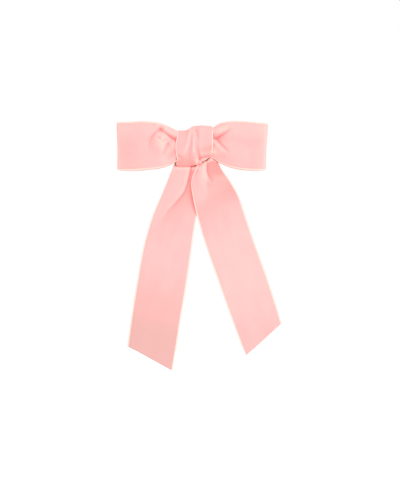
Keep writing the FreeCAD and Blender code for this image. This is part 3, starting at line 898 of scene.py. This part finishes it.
def felt_sides(low, high):
    """The pad's two faces: arched like the plate, round-cornered, soft at the rim, fuzzy in front."""
    half_length, half_width = (high.x - low.x) / 2, (high.z - low.z) / 2
    centre_y = low.y + PAD_ARCH_RADIUS + PAD_THICKNESS
    u = np.linspace(-1.0, 1.0, PAD_ROWS)[:, None]
    v = np.linspace(-1.0, 1.0, PAD_COLUMNS)[None, :]
    corner_gap = np.clip(np.abs(u) * half_length - (half_length - PAD_CORNER), 0.0, PAD_CORNER)
    half = half_width - PAD_CORNER + np.sqrt(np.maximum(PAD_CORNER**2 - corner_gap**2, 0.04))
    x = u * half_length + 0.0 * v
    z = v * half
    rim = np.minimum(half_length - np.abs(x), half - np.abs(z))
    soft = np.sqrt(np.clip(rim / PAD_RIM, 0.0, 1.0))
    fuzz = 0.05 * np.sin(x * 3.1 + 1.3 * np.sin(z * 2.3)) * np.sin(z * 4.1 + x)
    back = 0.02 + (1 - soft) * 0.38
    front = PAD_THICKNESS - (1 - soft) * 0.42 + fuzz * soft
    sides = []
    for out in (back, front):
        reach = PAD_ARCH_RADIUS + out
        sides.append(np.stack([x, centre_y - np.sqrt(reach**2 - x**2), z], axis=2))
    return sides


def felt_pad():
    """The glued pad between the plate and the bow."""
    low, high = [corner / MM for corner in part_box("felt_pad")]
    points = np.concatenate([side.reshape(-1, 3) for side in felt_sides(low, high)])
    piece = place("felt_backing", points, shell_faces(PAD_ROWS, PAD_COLUMNS))
    piece.data.materials.append(felt())
    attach(piece, "root")
    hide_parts("felt_pad")


def thread_turn(turn, low, high):
    """The places of one turn of thread: small circles along a rounded rectangle."""
    pitch = (high.x - low.x - 2 * THREAD_RADIUS) / (THREAD_TURNS - 1)
    middle_y, middle_z = (low.y + high.y) / 2, (low.z + high.z) / 2
    half_y, half_z = (high.y - low.y) / 2 - THREAD_RADIUS, (high.z - low.z) / 2 - THREAD_RADIUS
    points = []
    for k in range(TURN_SEGMENTS):
        a = 2 * math.pi * k / TURN_SEGMENTS
        c, s = math.cos(a), math.sin(a)
        y = middle_y + half_y * math.copysign(abs(c) ** 0.5, c)
        z = middle_z + half_z * math.copysign(abs(s) ** 0.5, s)
        shift = THREAD_SLANT * math.sin(a + turn)
        for j in range(THREAD_SIDES):
            b = 2 * math.pi * j / THREAD_SIDES
            out = THREAD_RADIUS * math.cos(b)
            x = low.x + THREAD_RADIUS + turn * pitch + THREAD_RADIUS * math.sin(b) + shift
            points.append((x, y + out * c, z + out * s))
    return points


def turn_faces(first):
    """The faces of one turn of thread, whose places are numbered from first."""
    faces = []
    for k in range(TURN_SEGMENTS):
        ring = first + k * THREAD_SIDES
        after = first + (k + 1) % TURN_SEGMENTS * THREAD_SIDES
        for j in range(THREAD_SIDES):
            side = (j + 1) % THREAD_SIDES
            faces.append((ring + j, ring + side, after + side, after + j))
    return faces


def gather_thread():
    """The turns of thread that hold the bow's gathered middle."""
    low, high = [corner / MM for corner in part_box("gather_thread")]
    points, faces = [], []
    for turn in range(THREAD_TURNS):
        faces += turn_faces(len(points))
        points += thread_turn(turn, low, high)
    piece = place("thread_turns", points, faces)
    piece.data.materials.append(thread())
    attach(piece, "root")
    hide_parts("gather_thread")


# The clip


def metal_parts():
    """Metal materials on the clip's own solids, with brush marks along the clip or the pins."""
    plated = metal("plated_steel", (226, 222, 214), 0.2, (0.04, 1.0, 1.0), 0.00002)
    spring = metal("spring_steel", (205, 205, 206), 0.27, (0.05, 1.0, 1.0), 0.00002)
    pins = metal("pin_steel", (214, 212, 208), 0.18, (1.0, 1.0, 0.1), 0.00001)
    groups = [
        (plated, ["top_plate", "swing_arm"]),
        (spring, ["tension_bar", "catch_base", "catch_prong_upper", "catch_prong_lower"]),
        (pins, ["hinge_pin", "bar_rivet", "catch_rivet"]),
    ]
    for material, nodes in groups:
        for node in nodes:
            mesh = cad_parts[node].data
            mesh.materials.clear()
            mesh.materials.append(material)


# The studio, in metres

FLOOR_Z = -0.42
FLOOR_RADIUS = 4.0
FLOOR_SIDES = 64

# The camera looks along +Y from straight in front. Its view is this high at the bow's front. The lens
# and the sensor are in millimetres.
VIEW_HEIGHT = 0.3795
VIEW_X = 0.0039
VIEW_Z = -0.0764
LENS = 120.0
SENSOR = 36.0

# Lamps: the way to each, and its strength. The spread is in degrees.
KEY_TOWARDS = (0.45, -1.1, 0.83)
KEY_STRENGTH = 2.05
FILL_TOWARDS = (-0.6, 1.1, 0.78)
FILL_STRENGTH = 2.2
LIGHT_SPREAD = 40.0
ROOM_LIGHT = 0.81
ROOM_TINT = (1.0, 0.96, 0.955, 1.0)
WHITE = (1.0, 1.0, 1.0, 1.0)


def floor():
    """A pale round floor, well below the object, with a faint plaster grain."""
    material, tree, shader = new_material("pale_floor", 0.9)
    here = object_place(tree)
    grain = noise(tree, here, 60.0, detail=3.0)
    base = mixed(tree, grain, colour(250, 250, 250), colour(255, 255, 255))
    tree.links.new(base, shader.inputs["Base Color"])
    bump(tree, shader, grain, 0.0005, 0.2)
    angles = np.linspace(0, 2 * math.pi, FLOOR_SIDES + 1)[:-1]
    ring = [(FLOOR_RADIUS * math.cos(a), FLOOR_RADIUS * math.sin(a), FLOOR_Z) for a in angles]
    mesh = bpy.data.meshes.new("floor")
    mesh.from_pydata(ring, [], [tuple(range(FLOOR_SIDES))])
    mesh.materials.append(material)
    ground = bpy.data.objects.new("floor", mesh)
    bpy.context.scene.collection.objects.link(ground)


def wide_light(name, towards, strength):
    """A lamp far away in one direction, as wide as a large studio panel."""
    lamp = bpy.data.lights.new(name, "SUN")
    lamp.energy = strength
    lamp.angle = math.radians(LIGHT_SPREAD)
    light = bpy.data.objects.new(name, lamp)
    bpy.context.scene.collection.objects.link(light)
    light.location = towards
    light.rotation_mode = "QUATERNION"
    light.rotation_quaternion = Vector(towards).to_track_quat("Z", "Y")


def room():
    """Pale light from all round. The camera itself sees plain white behind the object."""
    world = bpy.data.worlds.new("studio")
    world.use_nodes = True
    tree = world.node_tree
    cast = tree.nodes["Background"]
    cast.inputs["Color"].default_value = ROOM_TINT
    cast.inputs["Strength"].default_value = ROOM_LIGHT
    seen = tree.nodes.new("ShaderNodeBackground")
    seen.inputs["Color"].default_value = WHITE
    seen.inputs["Strength"].default_value = 1.0
    choice = tree.nodes.new("ShaderNodeMixShader")
    ray = tree.nodes.new("ShaderNodeLightPath")
    tree.links.new(ray.outputs["Is Camera Ray"], choice.inputs["Fac"])
    tree.links.new(cast.outputs["Background"], choice.inputs[1])
    tree.links.new(seen.outputs["Background"], choice.inputs[2])
    tree.links.new(choice.outputs["Shader"], tree.nodes["World Output"].inputs["Surface"])
    bpy.context.scene.world = world


def camera():
    """A long lens in front of the middle of the whole bow, tails included."""
    lens = bpy.data.cameras.new("camera")
    lens.lens = LENS
    lens.sensor_width = SENSOR
    lens.clip_start, lens.clip_end = 0.05, 20.0
    eye = bpy.data.objects.new("camera", lens)
    bpy.context.scene.collection.objects.link(eye)
    distance = VIEW_HEIGHT * LENS / SENSOR
    eye.location = (VIEW_X, LOOP_FRONT_Y * MM - distance, VIEW_Z)
    eye.rotation_euler = (math.pi / 2, 0.0, 0.0)
    bpy.context.scene.camera = eye
    bpy.context.scene.view_settings.view_transform = "Standard"


camera()
room()
wide_light("key", KEY_TOWARDS, KEY_STRENGTH)
wide_light("back_fill", FILL_TOWARDS, FILL_STRENGTH)
floor()
metal_parts()
felt_pad()
gather_thread()
soft_pieces()
